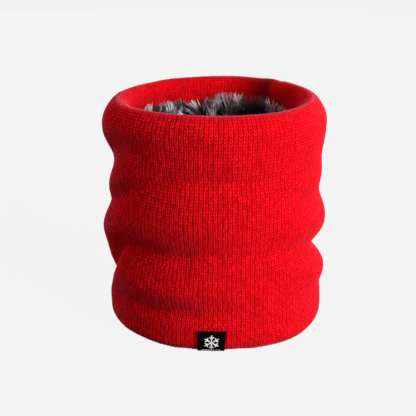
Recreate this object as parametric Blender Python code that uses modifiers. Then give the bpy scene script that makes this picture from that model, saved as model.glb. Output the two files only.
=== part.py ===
"""Neck gaiter: a knitted tube turned in at its rim and at its hem, lined with long-pile plush.

It stands on its hem with its axis along Z, and the label is at the front, towards -Y.
Places on the tube are given as an angle round Z (-90 degrees at the front), an offset from
the oval that the outside follows (negative towards the axis), and a height.
"""

import itertools
import math

import bmesh
import bpy
from mathutils import Vector

MM = 0.001

# Driving dimensions.
HALF_WIDTH = 87 * MM
HALF_DEPTH = 76.5 * MM
HEIGHT = 186 * MM
KNIT_THICKNESS = 2.6 * MM
WALL = 19.5 * MM
GAP = 0.3 * MM

# The rolled rim: how far in its highest line lies, and how tall its two shoulders are.
CREST_OFFSET = -11.5 * MM
OUTER_SHOULDER = 18 * MM
INNER_SHOULDER = 10 * MM
RIM_LIFT = 1.1 * MM
RIM_LIFT_ANGLE = -5
FRONT_RIM_LIFT = 2.9 * MM
FRONT_RIM_LIFT_ANGLE = -107
FRONT_RIM_LIFT_NARROWNESS = 4
TOP_FACING_EDGE = HEIGHT - 24 * MM

# The hem: a flat ring that the gaiter stands on, between two rounded corners.
HEM_RING = (-7 * MM, -12.5 * MM)
HEM_OUTER_CORNER = 10 * MM
HEM_INNER_CORNER = 8 * MM
BOTTOM_FACING_EDGE = 24 * MM

# The plush lining: its backing lies in line with the two knitted facings.
BACKING_THICKNESS = 1 * MM
BACKING_OFFSET = -WALL + 2 * MM
PILE_THICKNESS = 5.6 * MM
LINING_FOLLOWS_FOLDS = 0.3

# The sewing.
SEAM_ANGLE = 45
SEAM_FOOT = 2 * MM
LINING_SEAM_ANGLE = 52.5
SEAM_THREAD_RADIUS = 0.7 * MM
JOIN_THREAD_RADIUS = 0.7 * MM

# The label, folded round the hem.
LABEL_WIDTH = 22 * MM
LABEL_CENTRE_X = -2.3 * MM
LABEL_TOP = 21 * MM
LABEL_INSIDE_TOP = 15 * MM
LABEL_THICKNESS = 0.6 * MM
LABEL_DENT = 1 * MM
LABEL_DENT_ANGLES = (14, 22)
STITCH_RADIUS = 0.25 * MM
STITCH_INSET = 1.5 * MM
STITCH_FOOT = 4 * MM

STEPS = 48
WALL_ROWS = 24
CORNER_ROWS = 4
LINING_ROWS = 6
LABEL_COLUMNS = 4
LABEL_CORNER_ROWS = 6
STITCH_ROWS = 5

# Each fold in the wall: the half height of its section and its sharpness, then points along it,
# (angle, height in mm, push in mm). A crease pushes in, and a swelling pushes out.
FOLDS = {
    "dip_under_rim": (15, 2.0, (
        (-180, 135, -7.0), (-149, 154, -4.5), (-120, 158, -2.0), (-90, 156, -0.6),
        (-45, 146, -1.5), (0, 140, -2.5), (60, 142, -3.5), (120, 140, -5.5),
    )),
    "left_rim_swelling": (16, 2.0, (
        (-180, 162, 2.4), (-140, 168, 1.4), (-105, 170, 0.0), (105, 160, 0.0), (150, 160, 1.6),
    )),
    "upper_crease": (9, 1.6, (
        (-180, 101, -3.2), (-150, 116, -4.6), (-130, 130, -3.2), (-112, 139, -3.4),
        (-95, 141, -3.0), (-78, 140, -2.4), (-60, 139, -1.4), (-42, 138, 0.0),
        (95, 98, 0.0), (135, 98, -3.6),
    )),
    "right_hollow": (11, 2.0, (
        (-60, 116, 0.0), (-25, 115, -2.5), (0, 113, -3.5), (45, 110, -3.5), (90, 104, 0.0),
    )),
    "left_swelling": (15, 2.0, (
        (-180, 78, 4.6), (-150, 93, 3.2), (-131, 96, 2.2), (-112, 104, 2.0), (-95, 109, 1.6),
        (-75, 112, 0.6), (-50, 112, 0.0), (75, 74, 0.0), (110, 75, 2.0), (150, 76, 4.0),
    )),
    "right_upper_swelling": (12, 2.0, (
        (-60, 95, 0.0), (-25, 92, 1.6), (0, 88, 2.8), (45, 85, 2.2), (90, 82, 0.0),
    )),
    "lower_left_crease": (10.5, 1.6, (
        (-180, 37, -5.6), (-168, 48, -5.8), (-150, 75, -6.6), (-130, 79, -6.4), (-112, 80, -5.0),
        (-92, 83, -2.4), (-70, 84, 0.0), (60, 60, 0.0), (90, 55, -4.5), (115, 50, -5.0),
        (150, 45, -5.8),
    )),
    "lower_right_crease": (9, 1.6, (
        (-85, 83, 0.0), (-72, 82, -1.2), (-50, 79, -3.0), (-28, 74, -6.0), (0, 64, -9.0),
        (35, 62, -8.0), (75, 57, -2.0), (100, 54, 0.0),
    )),
    "low_left_swelling": (9, 2.0, (
        (-178, 30, 0.0), (-150, 51, 1.8), (-130, 51, 2.2), (-112, 49, 2.0), (-95, 50, 1.2),
        (-75, 52, 0.0),
    )),
    "right_lower_swelling": (12, 2.0, (
        (-60, 56, 0.0), (-25, 50, 1.6), (0, 44, 3.2), (45, 42, 2.6), (90, 40, 0.0),
    )),
    "low_crease": (7.5, 1.8, (
        (-176, 22, 0.0), (-150, 30, -2.2), (-128, 31, -3.6), (-110, 33, -2.8),
        (-92, 34, -1.4), (-72, 36, 0.0),
    )),
    "low_right_dip": (6, 2.0, (
        (-55, 36, 0.0), (-25, 33, -0.8), (0, 31, -0.8), (45, 30, -1.0), (80, 30, 0.0),
    )),
    "foot_swelling": (12, 2.0, (
        (-180, 24, 1.2), (-140, 14, -1.0), (-110, 18, 0.2), (-76, 14, 0.3), (-48, 7, 3.0),
        (0, 14, 1.0), (90, 20, 0.5),
    )),
    "right_rim_corner": (7, 2.0, (
        (-50, 184, 0.0), (-15, 183, -2.2), (15, 183, -2.2), (50, 184, 0.0),
    )),
}


def smooth(t):
    return t * t * (3 - 2 * t)


def fold_line(points, angle):
    """Height and push of a fold at an angle: a smooth curve through its points."""
    turned_back = [(a - 360, z, push) for a, z, push in points[-1:]]
    turned_on = [(a + 360, z, push) for a, z, push in points[:2]]
    ring = turned_back + list(points) + turned_on
    while angle < ring[1][0]:
        angle += 360
    while angle >= ring[-2][0]:
        angle -= 360
    for before, start, end, after in zip(ring, ring[1:], ring[2:], ring[3:]):
        if start[0] <= angle <= end[0]:
            break
    span = end[0] - start[0]
    t = (angle - start[0]) / span
    leaving = (end[1] - before[1]) / (end[0] - before[0]) * span
    reaching = (after[1] - start[1]) / (after[0] - start[0]) * span
    height = start[1] + (end[1] - start[1]) * smooth(t)
    height += leaving * t * (1 - t) ** 2 - reaching * t * t * (1 - t)
    return height, start[2] + (end[2] - start[2]) * smooth(t)


def fold_push(angle, height):
    """How far the folds push the wall out, in metres, at an angle in degrees and a height."""
    total = 0.0
    for half_height, sharpness, points in FOLDS.values():
        z, push = fold_line(points, angle)
        reach = abs(height / MM - z) / half_height
        total += push * math.exp(-(reach ** sharpness))
    return total * MM


def rim_lift(angle, height):
    """The rim tilts up a little toward its seam, and it is pulled up at the front left."""
    share = min(max((height / HEIGHT - 0.7) / 0.3, 0), 1)
    tilt = RIM_LIFT * math.cos(math.radians(angle - RIM_LIFT_ANGLE))
    near_front = 0.5 + 0.5 * math.cos(math.radians(angle - FRONT_RIM_LIFT_ANGLE))
    rise = FRONT_RIM_LIFT * near_front**FRONT_RIM_LIFT_NARROWNESS
    return smooth(share) * (tilt + rise)


def label_lift(angle, height):
    """The hem is pressed up under the label by the label's own thickness."""
    centre = math.degrees(math.asin(LABEL_CENTRE_X / HALF_WIDTH)) - 90
    full, none = LABEL_DENT_ANGLES
    near = min(max((none - abs(angle - centre)) / (none - full), 0), 1)
    low = min(max(1 - height / HEM_OUTER_CORNER, 0), 1)
    return LABEL_DENT * smooth(near) * smooth(low)


def on_tube(angle, offset, height, follow):
    """A point of the tube: follow is the share of the folds' push that it takes."""
    radians = math.radians(angle)
    offset += follow * fold_push(angle, height)
    z = height + rim_lift(angle, height) + label_lift(angle, height)
    return Vector((
        (HALF_WIDTH + offset) * math.cos(radians),
        (HALF_DEPTH + offset) * math.sin(radians),
        z,
    ))


def quarter(centre, radii, start, rows):
    """Points of a quarter ellipse from an angle, turning clockwise, without its first point."""
    turns = [math.radians(start - 90 * (i + 1) / rows) for i in range(rows)]
    return [(centre[0] + radii[0] * math.cos(t), centre[1] + radii[1] * math.sin(t)) for t in turns]


def wall_follow(offset):
    return min(max(1 + offset / WALL, 0), 1)


def knit_profile():
    """(offset, height) down the tube: up the top facing, over the rim, down the wall, round the
    hem and up the bottom facing."""
    crest = (CREST_OFFSET, HEIGHT)
    inner_centre = (CREST_OFFSET, crest[1] - INNER_SHOULDER)
    outer_centre = (CREST_OFFSET, crest[1] - OUTER_SHOULDER)
    points = [(-WALL, TOP_FACING_EDGE), (-WALL, (TOP_FACING_EDGE + inner_centre[1]) / 2)]
    points.append((-WALL, inner_centre[1]))
    points += quarter(inner_centre, (WALL + CREST_OFFSET, INNER_SHOULDER), 180, CORNER_ROWS)
    points += quarter(outer_centre, (-CREST_OFFSET, OUTER_SHOULDER), 90, CORNER_ROWS)
    top = outer_centre[1]
    for row in range(1, WALL_ROWS + 1):
        points.append((0, top + (HEM_OUTER_CORNER - top) * row / WALL_ROWS))
    points += quarter((HEM_RING[0], HEM_OUTER_CORNER), (-HEM_RING[0], HEM_OUTER_CORNER), 0, CORNER_ROWS)
    points.append((HEM_RING[1], 0))
    corner = (WALL + HEM_RING[1], HEM_INNER_CORNER)
    points += quarter((HEM_RING[1], HEM_INNER_CORNER), corner, 270, CORNER_ROWS)
    points.append((-WALL, (HEM_INNER_CORNER + BOTTOM_FACING_EDGE) / 2))
    points.append((-WALL, BOTTOM_FACING_EDGE))
    return points


def lining_profile(offset):
    """(offset, height) down one layer of the lining, between the two facings."""
    top = TOP_FACING_EDGE - GAP
    bottom = BOTTOM_FACING_EDGE + GAP
    return [(offset, top + (bottom - top) * row / LINING_ROWS) for row in range(LINING_ROWS + 1)]


def material(name, colour, roughness, sheen=0.0):
    made = bpy.data.materials.new(name)
    made.use_nodes = True
    shader = made.node_tree.nodes["Principled BSDF"]
    shader.inputs["Base Color"].default_value = (*colour, 1)
    shader.inputs["Roughness"].default_value = roughness
    shader.inputs["Metallic"].default_value = 0.0
    shader.inputs["Sheen Weight"].default_value = sheen
    made.diffuse_color = (*colour, 1)
    return made


def add(name, mesh, look, collection):
    obj = bpy.data.objects.new(name, mesh)
    obj.data.materials.clear()
    obj.data.materials.append(look)
    obj.data.shade_smooth()
    collection.objects.link(obj)
    return obj


def as_mesh(obj):
    """The evaluated mesh of an object, whose own object is then removed."""
    bpy.context.view_layer.update()
    graph = bpy.context.evaluated_depsgraph_get()
    mesh = bpy.data.meshes.new_from_object(obj.evaluated_get(graph))
    bpy.data.objects.remove(obj)
    return mesh


def turned_sheet(name, profile, thickness, follow, look, collection):
    """A profile turned round Z, drawn out to the oval and creased, then made a thick fabric."""
    outline = bpy.data.meshes.new(name)
    points = [(HALF_WIDTH + offset, 0, height) for offset, height in profile]
    outline.from_pydata(points, [(i, i + 1) for i in range(len(points) - 1)], [])
    guide = bpy.data.objects.new(name + "_profile", outline)
    collection.objects.link(guide)
    screw = guide.modifiers.new("Turn", "SCREW")
    screw.steps = STEPS
    screw.render_steps = STEPS
    screw.use_merge_vertices = True
    screw.merge_threshold = 0.0001
    mesh = as_mesh(guide)
    for vertex in mesh.vertices:
        x, y, z = vertex.co
        offset = math.hypot(x, y) - HALF_WIDTH
        vertex.co = on_tube(math.degrees(math.atan2(y, x)), offset, z, follow(offset))
    sheet = add(name, mesh, look, collection)
    solidify = sheet.modifiers.new("Thickness", "SOLIDIFY")
    solidify.thickness = thickness
    solidify.offset = -1
    return sheet


def thread(name, points, radius, closed, look, collection):
    """A round thread along a list of points, as a mesh with welded ends."""
    curve = bpy.data.curves.new(name, "CURVE")
    curve.dimensions = "3D"
    curve.bevel_depth = radius
    curve.bevel_resolution = 1
    curve.use_fill_caps = True
    spline = curve.splines.new("POLY")
    spline.points.add(len(points) - 1)
    for point, place in zip(spline.points, points):
        point.co = (*place, 1)
    spline.use_cyclic_u = closed
    guide = bpy.data.objects.new(name + "_path", curve)
    collection.objects.link(guide)
    mesh = as_mesh(guide)
    shape = bmesh.new()
    shape.from_mesh(mesh)
    bmesh.ops.remove_doubles(shape, verts=shape.verts, dist=0.00001)
    bmesh.ops.recalc_face_normals(shape, faces=shape.faces)
    shape.to_mesh(mesh)
    shape.free()
    return add(name, mesh, look, collection)


def raised(profile, distance):
    """The profile moved out along its own normals, away from the fabric."""
    moved = []
    for i, (offset, height) in enumerate(profile):
        before = profile[max(i - 1, 0)]
        after = profile[min(i + 1, len(profile) - 1)]
        along = Vector((after[0] - before[0], after[1] - before[1])).normalized()
        moved.append((offset - along.y * distance, height + along.x * distance))
    return moved


def seam_thread(name, angle, profile, follow, distance, look, collection):
    """A thread down the whole of a profile at one angle, lifted off the fabric."""
    points = []
    for (offset, height), (out, up) in zip(profile, raised(profile, distance)):
        base = on_tube(angle, offset, height, follow(offset))
        radians = math.radians(angle)
        aside = Vector((math.cos(radians), math.sin(radians), 0)) * (out - offset)
        points.append(base + aside + Vector((0, 0, up - height)))
    return thread(name, points, SEAM_THREAD_RADIUS, False, look, collection)


def join_ring(name, height, look, collection):
    """The overlocked thread that joins a facing to the lining, on their hidden side."""
    offset = BACKING_OFFSET + BACKING_THICKNESS + GAP + JOIN_THREAD_RADIUS
    angles = [360 * i / STEPS for i in range(STEPS)]
    points = [on_tube(angle, offset, height, LINING_FOLLOWS_FOLDS) for angle in angles]
    return thread(name, points, JOIN_THREAD_RADIUS, True, look, collection)


def label_path():
    """(offset, height) of the hem's surface under the label, outside top to inside top."""
    rows = LABEL_CORNER_ROWS
    outside = [(0, LABEL_TOP), (0, (LABEL_TOP + HEM_OUTER_CORNER) / 2), (0, HEM_OUTER_CORNER)]
    outer = (HEM_RING[0], HEM_OUTER_CORNER)
    inner = (HEM_RING[1], HEM_INNER_CORNER)
    path = outside + quarter(outer, (-HEM_RING[0], HEM_OUTER_CORNER), 0, rows)
    path.append((HEM_RING[1], 0))
    path += quarter(inner, (WALL + HEM_RING[1], HEM_INNER_CORNER), 270, rows)
    path.append((-WALL, LABEL_INSIDE_TOP))
    return path


def on_label(x, offset, height, base):
    """A point above the label's place: base is the fabric's own offset there."""
    angle = -math.degrees(math.acos(x / (HALF_WIDTH + offset)))
    return on_tube(angle, offset, height, wall_follow(base))


def woven_label(look, collection):
    path = label_path()
    lifted = raised(path, GAP + LABEL_THICKNESS)
    shape = bmesh.new()
    bmesh.ops.create_grid(shape, x_segments=LABEL_COLUMNS, y_segments=len(path) - 1, size=0.5)
    for vertex in shape.verts:
        x = LABEL_CENTRE_X + vertex.co.x * LABEL_WIDTH
        row = round((0.5 - vertex.co.y) * (len(path) - 1))
        offset, height = lifted[row]
        vertex.co = on_label(x, offset, height, path[row][0])
    mesh = bpy.data.meshes.new("woven_label")
    shape.to_mesh(mesh)
    shape.free()
    label = add("woven_label", mesh, look, collection)
    solidify = label.modifiers.new("Thickness", "SOLIDIFY")
    solidify.thickness = LABEL_THICKNESS
    solidify.offset = -1
    return label


def label_stitch(name, side, look, collection):
    """The run of thread down one edge of the label's front."""
    x = LABEL_CENTRE_X + side * (LABEL_WIDTH / 2 - STITCH_INSET)
    last = STITCH_ROWS - 1
    clear = 2 * GAP + LABEL_THICKNESS + STITCH_RADIUS
    points = []
    for row in range(STITCH_ROWS):
        height = LABEL_TOP - STITCH_INSET + (STITCH_FOOT + STITCH_INSET - LABEL_TOP) * row / last
        down = min(max(1 - height / HEM_OUTER_CORNER, 0), 1)
        base = HEM_RING[0] * (1 - math.sqrt(1 - down * down))
        points.append(on_label(x, base + clear, height - clear * down, base))
    return thread(name, points, STITCH_RADIUS, False, look, collection)


def centre_on_origin(objects):
    """Puts the middle of the standing tube's box over the origin, with its hem at height 0."""
    bpy.context.view_layer.update()
    graph = bpy.context.evaluated_depsgraph_get()
    corners = []
    for obj in objects:
        mesh = obj.evaluated_get(graph).to_mesh()
        corners += [vertex.co.copy() for vertex in mesh.vertices]
    low = Vector([min(co[axis] for co in corners) for axis in range(3)])
    high = Vector([max(co[axis] for co in corners) for axis in range(3)])
    shift = Vector((-(low.x + high.x) / 2, -(low.y + high.y) / 2, -low.z))
    for obj in objects:
        for vertex in obj.data.vertices:
            vertex.co += shift


def build():
    for obj in list(bpy.data.objects):
        bpy.data.objects.remove(obj)
    collection = bpy.data.collections.new("neck_gaiter")
    bpy.context.scene.collection.children.link(collection)

    knit_look = material("red_acrylic_knit", (0.60, 0.004, 0.010), 0.85, 0.4)
    red_thread = material("red_sewing_thread", (0.45, 0.003, 0.008), 0.6)
    backing_look = material("dark_grey_backing", (0.030, 0.028, 0.032), 0.9)
    pile_look = material("silver_tipped_pile", (0.075, 0.070, 0.078), 0.8, 0.5)
    dark_thread = material("dark_grey_thread", (0.035, 0.033, 0.036), 0.6)
    label_look = material("black_woven_label", (0.004, 0.004, 0.005), 0.55)
    black_thread = material("black_sewing_thread", (0.006, 0.006, 0.007), 0.5)

    def follow_lining(offset):
        return LINING_FOLLOWS_FOLDS

    profile = knit_profile()
    backing = lining_profile(BACKING_OFFSET + BACKING_THICKNESS)
    pile = lining_profile(BACKING_OFFSET - GAP)
    seam = list(itertools.takewhile(lambda point: point[1] > SEAM_FOOT, profile))
    lift = GAP + SEAM_THREAD_RADIUS
    parts = [
        turned_sheet("knit_tube", profile, KNIT_THICKNESS, wall_follow, knit_look, collection),
        turned_sheet("lining_backing", backing, BACKING_THICKNESS, follow_lining, backing_look, collection),
        turned_sheet("lining_pile", pile, PILE_THICKNESS, follow_lining, pile_look, collection),
        seam_thread("knit_seam_thread", SEAM_ANGLE, seam, wall_follow, lift, red_thread, collection),
        seam_thread("lining_seam_thread", LINING_SEAM_ANGLE, backing[1:-1], follow_lining, lift,
                    dark_thread, collection),
        join_ring("top_join_thread", TOP_FACING_EDGE, red_thread, collection),
        join_ring("bottom_join_thread", BOTTOM_FACING_EDGE, red_thread, collection),
        woven_label(label_look, collection),
        label_stitch("label_stitch_left", -1, black_thread, collection),
        label_stitch("label_stitch_right", 1, black_thread, collection),
    ]
    centre_on_origin(parts)


build()
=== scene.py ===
"""Looks of the neck gaiter: knitted stitches, plush pile, woven label and sewing threads.

Places on the tube are given as in the CAD: an angle round Z in degrees (-90 at the front), an
offset in metres from the oval that the outside follows, and a height in metres.
"""

import math

import bpy
import numpy as np
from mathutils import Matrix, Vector


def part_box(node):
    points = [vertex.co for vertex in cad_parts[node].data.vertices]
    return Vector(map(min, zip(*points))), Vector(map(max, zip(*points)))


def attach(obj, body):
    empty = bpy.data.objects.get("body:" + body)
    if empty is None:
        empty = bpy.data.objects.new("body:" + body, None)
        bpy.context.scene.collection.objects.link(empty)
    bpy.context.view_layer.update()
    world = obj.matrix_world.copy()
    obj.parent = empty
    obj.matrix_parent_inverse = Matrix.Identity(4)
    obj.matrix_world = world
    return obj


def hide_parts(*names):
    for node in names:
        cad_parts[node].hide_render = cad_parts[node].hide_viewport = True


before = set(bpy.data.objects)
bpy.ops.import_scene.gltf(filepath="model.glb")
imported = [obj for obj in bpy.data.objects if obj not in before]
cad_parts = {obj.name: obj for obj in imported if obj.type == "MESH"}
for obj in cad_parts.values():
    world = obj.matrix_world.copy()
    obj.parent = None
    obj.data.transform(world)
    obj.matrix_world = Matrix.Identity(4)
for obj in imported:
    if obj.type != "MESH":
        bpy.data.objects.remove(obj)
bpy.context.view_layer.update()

MM = 0.001

# What the frame says: the boxes of the CAD nodes that the looks are built from.
KNIT_LOW, KNIT_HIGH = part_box("knit_tube")
LABEL_LOW, LABEL_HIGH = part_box("woven_label")
BOTTOM_JOIN_LOW, BOTTOM_JOIN_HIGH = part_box("bottom_join_thread")
BACKING_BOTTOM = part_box("lining_backing")[0].z
PILE_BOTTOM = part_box("lining_pile")[0].z

# The section of the tube, as in the CAD.
RIM_LIFT = 1.1 * MM
RIM_LIFT_ANGLE = -5
FRONT_RIM_LIFT = 2.9 * MM
FRONT_RIM_LIFT_ANGLE = -107
FRONT_RIM_LIFT_NARROWNESS = 4
TOP_FACING_DEPTH = 24 * MM
BOTTOM_FACING_EDGE = (BOTTOM_JOIN_LOW.z + BOTTOM_JOIN_HIGH.z) / 2
WALL = 19.5 * MM
CREST_OFFSET = -11.5 * MM
OUTER_SHOULDER = 18 * MM
INNER_SHOULDER = 10 * MM
HEM_RING = (-7 * MM, -12.5 * MM)
HEM_OUTER_CORNER = 10 * MM
HEM_INNER_CORNER = 8 * MM
BACKING_THICKNESS = 1 * MM
BACKING_OFFSET = -WALL + 2 * MM
LINING_FOLLOWS_FOLDS = 0.3
SEAM_ANGLE = 45
LINING_SEAM_ANGLE = 52.5
LINING_SEAM_ENDS = (139 * MM, 47.2 * MM)
LABEL_DENT = 1 * MM
LABEL_DENT_ANGLES = (14, 22)
LABEL_INSIDE_TOP = 15 * MM

# The knitting. A wale is one column of stitches, and a course is one row of them.
WALES = 150
COURSE = 2.4 * MM
COLUMNS_PER_WALE = 6
ROWS_PER_COURSE = 4
STITCH_DEPTH = 0.85 * MM
STITCH_LEAN = 0.8
CREASES = ("dip_under_rim", "upper_crease", "lower_left_crease", "lower_right_crease", "low_crease")
CREASE_DRIFT = 3.4
SEAM_BULGE = 7 * MM
SEAM_BULGE_SPAN = 36

# How open the stitches are drawn, and how much painted shade darkens their gaps: the share that
# each of three places gives, and the left's middle.
OPEN_AND_SHADED_NEAR_RIM = 0.1
OPEN_AND_SHADED_BELOW_CREASE = 0.3
OPEN_AND_SHADED_ON_LEFT = 0.8
LEFT_ANGLE = -165

# The lining's pile. It lies in clumps, and stands taller at its crest below the top facing.
PILE_ROOT_OFFSET = BACKING_OFFSET - 0.6 * MM
PILE_RADIUS = 63.5 * MM
PILE_LENGTHS = (11 * MM, 16 * MM)
PILE_SEEN_DEPTH = 24 * MM
PILE_CREST_DEPTH = 8 * MM
CLUMP_ANGLE = 6.5
CLUMP_HEIGHT = 7 * MM
# Where the pile stands tallest, brightened a little with painted light, and where it is darkened
# with painted shadow beside the seam.
BACK_ANGLE = 66
SHADOW_PATCH_ANGLE = 55
LEFT_END_ANGLE = 150

# The label narrows toward its fold by this share of its width.
LABEL_TAPER = 0.08

# The snowflake on the label, and the stripe of dashes below it.
MARK_BELOW_TOP = 11.2 * MM
MARK_ARM = 6.5 * MM
MARK_BARB = 2.4 * MM
MARK_BARB_LEAN = 58
MARK_CORD = 0.43 * MM
DASH_PITCH = 2.2 * MM
DASH_HALF = 0.7 * MM
DASH_BELOW_TOP = 3 * MM

# Threads: the sides of their tubes, and how many rings of points each twist of the plies has.
THREAD_SIDES = 10
RINGS_PER_TWIST = 8
CORD_SIDES = 8

# Each fold in the wall, as in the CAD: the half height of its section and its sharpness, then
# points along it, (angle, height in mm, push in mm).
FOLDS = {
    "dip_under_rim": (15, 2.0, (
        (-180, 135, -7.0), (-149, 154, -4.5), (-120, 158, -2.0), (-90, 156, -0.6),
        (-45, 146, -1.5), (0, 140, -2.5), (60, 142, -3.5), (120, 140, -5.5),
    )),
    "left_rim_swelling": (16, 2.0, (
        (-180, 162, 2.4), (-140, 168, 1.4), (-105, 170, 0.0), (105, 160, 0.0), (150, 160, 1.6),
    )),
    "upper_crease": (9, 1.6, (
        (-180, 101, -3.2), (-150, 116, -4.6), (-130, 130, -3.2), (-112, 139, -3.4),
        (-95, 141, -3.0), (-78, 140, -2.4), (-60, 139, -1.4), (-42, 138, 0.0),
        (95, 98, 0.0), (135, 98, -3.6),
    )),
    "right_hollow": (11, 2.0, (
        (-60, 116, 0.0), (-25, 115, -2.5), (0, 113, -3.5), (45, 110, -3.5), (90, 104, 0.0),
    )),
    "left_swelling": (15, 2.0, (
        (-180, 78, 4.6), (-150, 93, 3.2), (-131, 96, 2.2), (-112, 104, 2.0), (-95, 109, 1.6),
        (-75, 112, 0.6), (-50, 112, 0.0), (75, 74, 0.0), (110, 75, 2.0), (150, 76, 4.0),
    )),
    "right_upper_swelling": (12, 2.0, (
        (-60, 95, 0.0), (-25, 92, 1.6), (0, 88, 2.8), (45, 85, 2.2), (90, 82, 0.0),
    )),
    "lower_left_crease": (10.5, 1.6, (
        (-180, 37, -5.6), (-168, 48, -5.8), (-150, 75, -6.6), (-130, 79, -6.4), (-112, 80, -5.0),
        (-92, 83, -2.4), (-70, 84, 0.0), (60, 60, 0.0), (90, 55, -4.5), (115, 50, -5.0),
        (150, 45, -5.8),
    )),
    "lower_right_crease": (9, 1.6, (
        (-85, 83, 0.0), (-72, 82, -1.2), (-50, 79, -3.0), (-28, 74, -6.0), (0, 64, -9.0),
        (35, 62, -8.0), (75, 57, -2.0), (100, 54, 0.0),
    )),
    "low_left_swelling": (9, 2.0, (
        (-178, 30, 0.0), (-150, 51, 1.8), (-130, 51, 2.2), (-112, 49, 2.0), (-95, 50, 1.2),
        (-75, 52, 0.0),
    )),
    "right_lower_swelling": (12, 2.0, (
        (-60, 56, 0.0), (-25, 50, 1.6), (0, 44, 3.2), (45, 42, 2.6), (90, 40, 0.0),
    )),
    "low_crease": (7.5, 1.8, (
        (-176, 22, 0.0), (-150, 30, -2.2), (-128, 31, -3.6), (-110, 33, -2.8),
        (-92, 34, -1.4), (-72, 36, 0.0),
    )),
    "low_right_dip": (6, 2.0, (
        (-55, 36, 0.0), (-25, 33, -0.8), (0, 31, -0.8), (45, 30, -1.0), (80, 30, 0.0),
    )),
    "foot_swelling": (12, 2.0, (
        (-180, 24, 1.2), (-140, 14, -1.0), (-110, 18, 0.2), (-76, 14, 0.3), (-48, 7, 3.0),
        (0, 14, 1.0), (90, 20, 0.5),
    )),
    "right_rim_corner": (7, 2.0, (
        (-50, 184, 0.0), (-15, 183, -2.2), (15, 183, -2.2), (50, 184, 0.0),
    )),
}


# The tube's shape.

def smooth(t):
    """An eased step from 0 to 1."""
    t = np.clip(t, 0, 1)
    return t * t * (3 - 2 * t)


def apart(angle, centre):
    """Degrees round the tube from a centre to an angle, from -180 to 180."""
    return (angle - centre + 180) % 360 - 180


def fold_line(points, angle):
    """Height and push of a fold at these angles: a smooth curve through its points."""
    once = np.array(points, float)
    turn = np.array([360, 0, 0])
    ring = np.vstack([once[-1:] - turn, once, once[:2] + turn])
    angle = (np.asarray(angle, float) - ring[1, 0]) % 360 + ring[1, 0]
    i = np.clip(np.searchsorted(ring[:, 0], angle, side="right") - 1, 1, len(ring) - 3)
    before, start, end, after = ring[i - 1], ring[i], ring[i + 1], ring[i + 2]
    span = end[..., 0] - start[..., 0]
    t = (angle - start[..., 0]) / span
    leaving = (end[..., 1] - before[..., 1]) / (end[..., 0] - before[..., 0]) * span
    reaching = (after[..., 1] - start[..., 1]) / (after[..., 0] - start[..., 0]) * span
    height, push = (start[..., k] + (end[..., k] - start[..., k]) * smooth(t) for k in (1, 2))
    height = height + leaving * t * (1 - t) ** 2 - reaching * t * t * (1 - t)
    return height, push


def fold_push(angle, height):
    """How far the folds push the wall out, in metres."""
    total = 0.0
    for half_height, sharpness, points in FOLDS.values():
        z, push = fold_line(points, angle)
        total = total + push * np.exp(-(np.abs(height / MM - z) / half_height) ** sharpness)
    return total * MM


def full_rim_lift(angle):
    """How far the rim stands above or below its mean height."""
    tilt = RIM_LIFT * np.cos(np.radians(angle - RIM_LIFT_ANGLE))
    near_front = 0.5 + 0.5 * np.cos(np.radians(angle - FRONT_RIM_LIFT_ANGLE))
    return tilt + FRONT_RIM_LIFT * near_front ** FRONT_RIM_LIFT_NARROWNESS


HIGHEST_LIFT = full_rim_lift(np.arange(0, 360, 1.0)).max()
HEIGHT = KNIT_HIGH.z - HIGHEST_LIFT
TOP_FACING_EDGE = HEIGHT - TOP_FACING_DEPTH


def rim_lift(angle, height):
    """How far the rim's lift moves a point: nothing low down, all of it at the top."""
    return smooth((height / HEIGHT - 0.7) / 0.3) * full_rim_lift(angle)


def wall_follow(offset):
    """The share of the folds' push that the knit takes: all outside, none at the inner wall."""
    return np.clip(1 + offset / WALL, 0, 1)


class Tube:
    """The oval that the outside follows, fitted so that the knitted tube fills its CAD box."""

    def __init__(self):
        self.half = np.array([(KNIT_HIGH.x - KNIT_LOW.x) / 2, (KNIT_HIGH.y - KNIT_LOW.y) / 2])
        self.shift = np.zeros(3)
        wanted = self.half.copy()
        middle = np.array([KNIT_LOW.x + KNIT_HIGH.x, KNIT_LOW.y + KNIT_HIGH.y]) / 2
        angle, height = np.meshgrid(np.arange(0, 360, 2.5), np.linspace(0, HEIGHT, 120))
        for _ in range(3):
            points = self.at(angle, 0.0, height, 1.0).reshape(-1, 3)
            low, high = points[:, :2].min(0), points[:, :2].max(0)
            self.half += wanted - (high - low) / 2
            self.shift[:2] += middle - (low + high) / 2

    def at(self, angle, offset, height, follow):
        """Points of the tube: follow is the share of the folds' push that they take."""
        angle, offset, height = np.broadcast_arrays(angle, offset, height)
        offset = offset + follow * fold_push(angle, height)
        z = height + rim_lift(angle, height) + self.label_lift(angle, height)
        turn = np.radians(angle)
        x = (self.half[0] + offset) * np.cos(turn)
        y = (self.half[1] + offset) * np.sin(turn)
        return np.stack([x, y, z], axis=-1) + self.shift

    def label_lift(self, angle, height):
        """The hem is pressed up under the label by the label's own thickness."""
        x = (LABEL_LOW.x + LABEL_HIGH.x) / 2 - self.shift[0]
        centre = math.degrees(math.asin(x / self.half[0])) - 90
        full, none = LABEL_DENT_ANGLES
        near = smooth((none - np.abs(apart(angle, centre))) / (none - full))
        return LABEL_DENT * near * smooth(1 - height / HEM_OUTER_CORNER)


TUBE = Tube()


def arc(centre, radii, start, rows=24):
    """Points of a quarter ellipse, turning clockwise from an angle in degrees."""
    turn = np.radians(start - 90 * np.linspace(0, 1, rows))
    return np.stack([centre[0] + radii[0] * np.cos(turn), centre[1] + radii[1] * np.sin(turn)], 1)


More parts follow.
